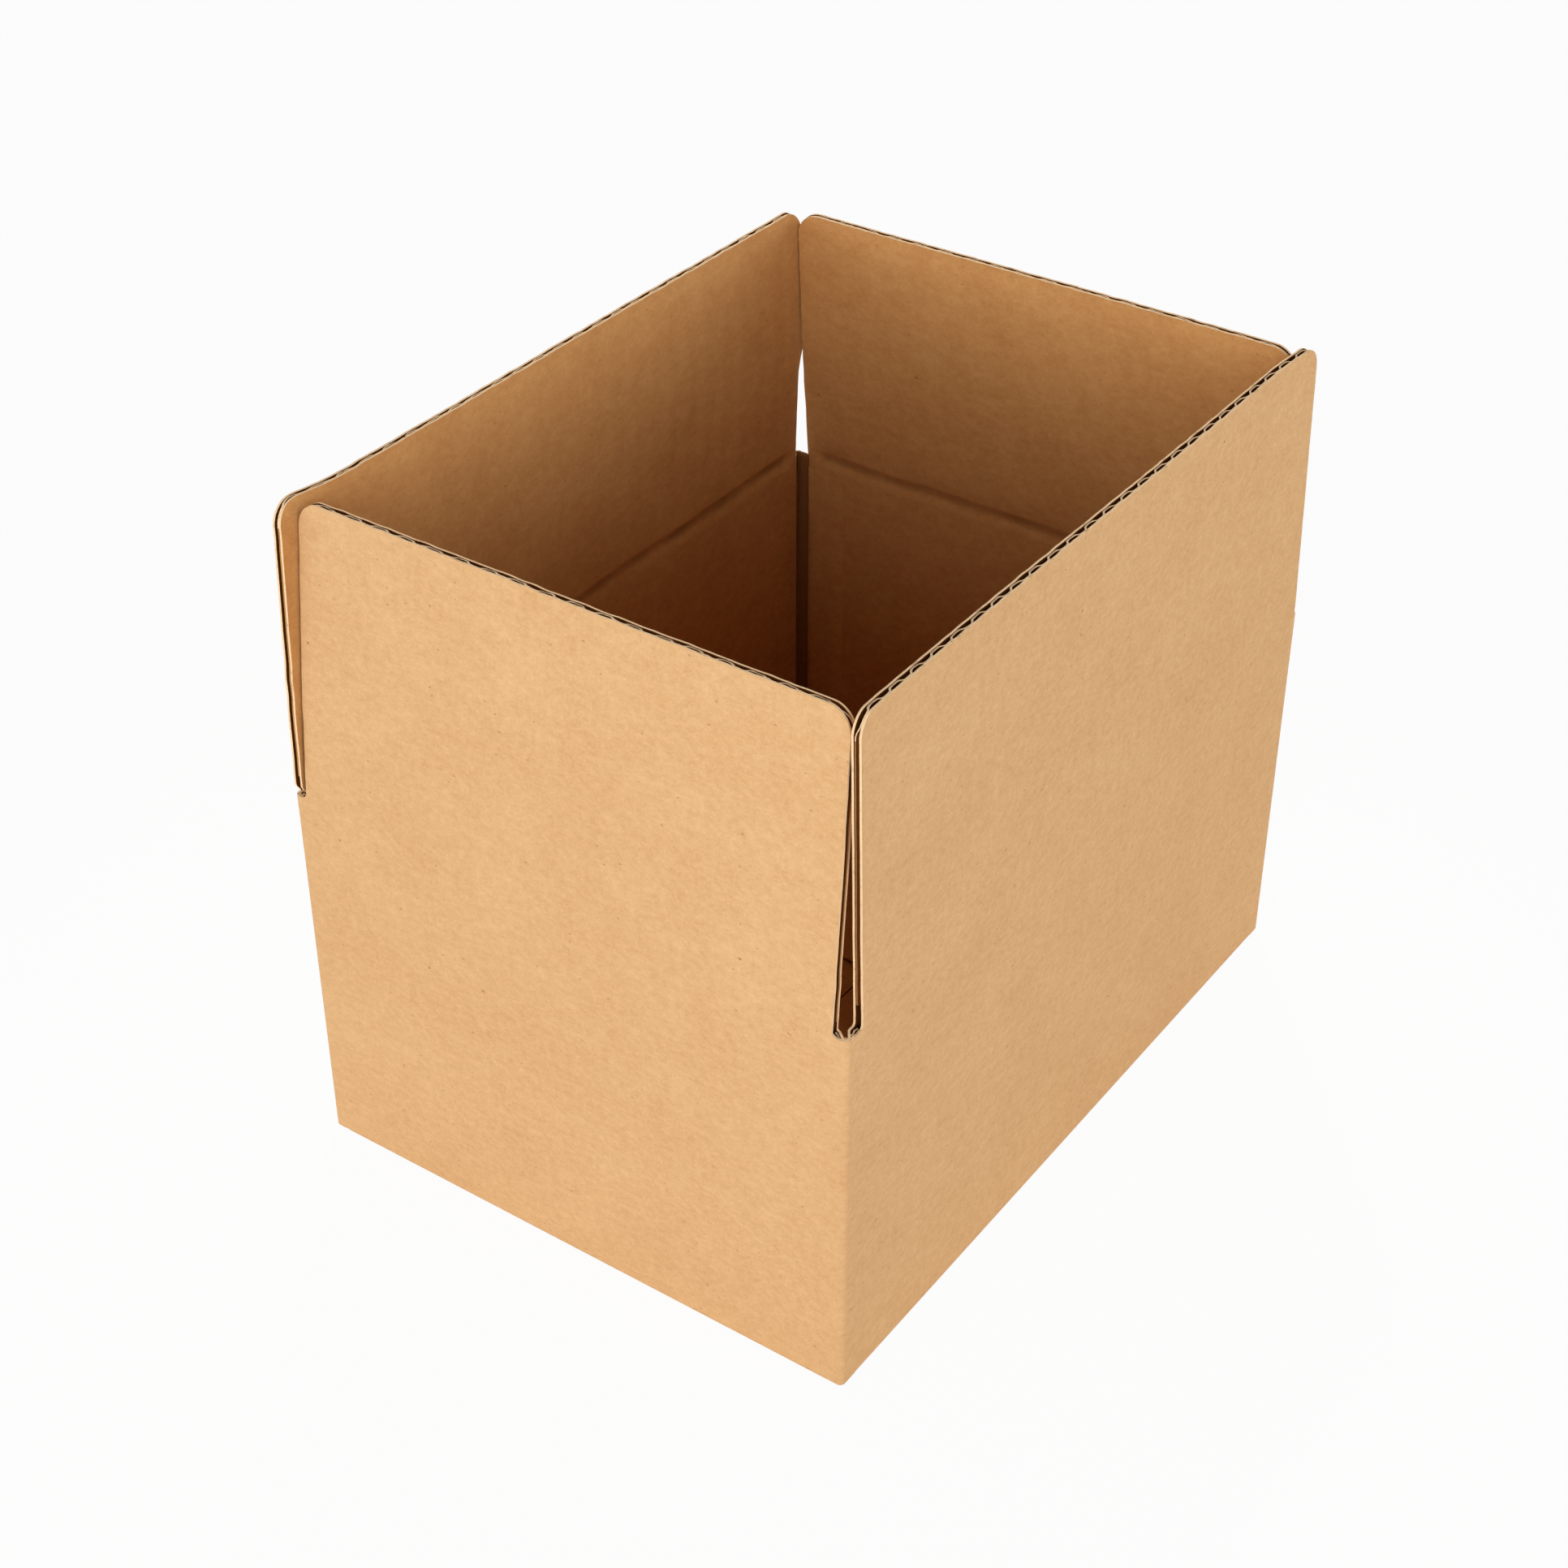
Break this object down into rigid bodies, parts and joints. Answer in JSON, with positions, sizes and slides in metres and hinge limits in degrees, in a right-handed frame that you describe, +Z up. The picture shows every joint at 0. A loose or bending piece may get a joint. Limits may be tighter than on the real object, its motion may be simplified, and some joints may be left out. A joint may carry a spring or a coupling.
{
  "type": "open cardboard box",
  "caption": "Rectangular corrugated cardboard shipping box standing open, with raised folding top flaps, a closed floor and a glued corner seam.",
  "frame": {"origin": "on the floor, under the middle of the box", "axes": "+X along the length, +Y along the width towards the wall that carries the glue tab, +Z up"},
  "size_m": [0.2, 0.15, 0.1742],
  "materials": {
    "kraft_board": "matt brown kraft liner over a fluted core"
  },
  "bodies": {
    "carton": {"box_body": "kraft_board"},
    "front": {"front_flap": "kraft_board"},
    "back": {"back_flap": "kraft_board"},
    "left_end": {"left_end_flap": "kraft_board"},
    "right_end": {"right_end_flap": "kraft_board"}
  },
  "joints": [
    {"name": "front_flap_fold", "type": "hinge", "parent": "carton", "child": "front", "pos_m": [0, -0.075, 0.1002], "axis": [-1, 0, 0], "range_deg": [-172, 88]},
    {"name": "back_flap_fold", "type": "hinge", "parent": "carton", "child": "back", "pos_m": [0, 0.075, 0.1002], "axis": [1, 0, 0], "range_deg": [-172.3, 87.7]},
    {"name": "left_end_flap_fold", "type": "hinge", "parent": "carton", "child": "left_end", "pos_m": [-0.1, 0, 0.0975], "axis": [0, 1, 0], "range_deg": [-172.9, 87.1]},
    {"name": "right_end_flap_fold", "type": "hinge", "parent": "carton", "child": "right_end", "pos_m": [0.1, 0, 0.0975], "axis": [0, -1, 0], "range_deg": [-172.9, 87.1]}
  ]
}
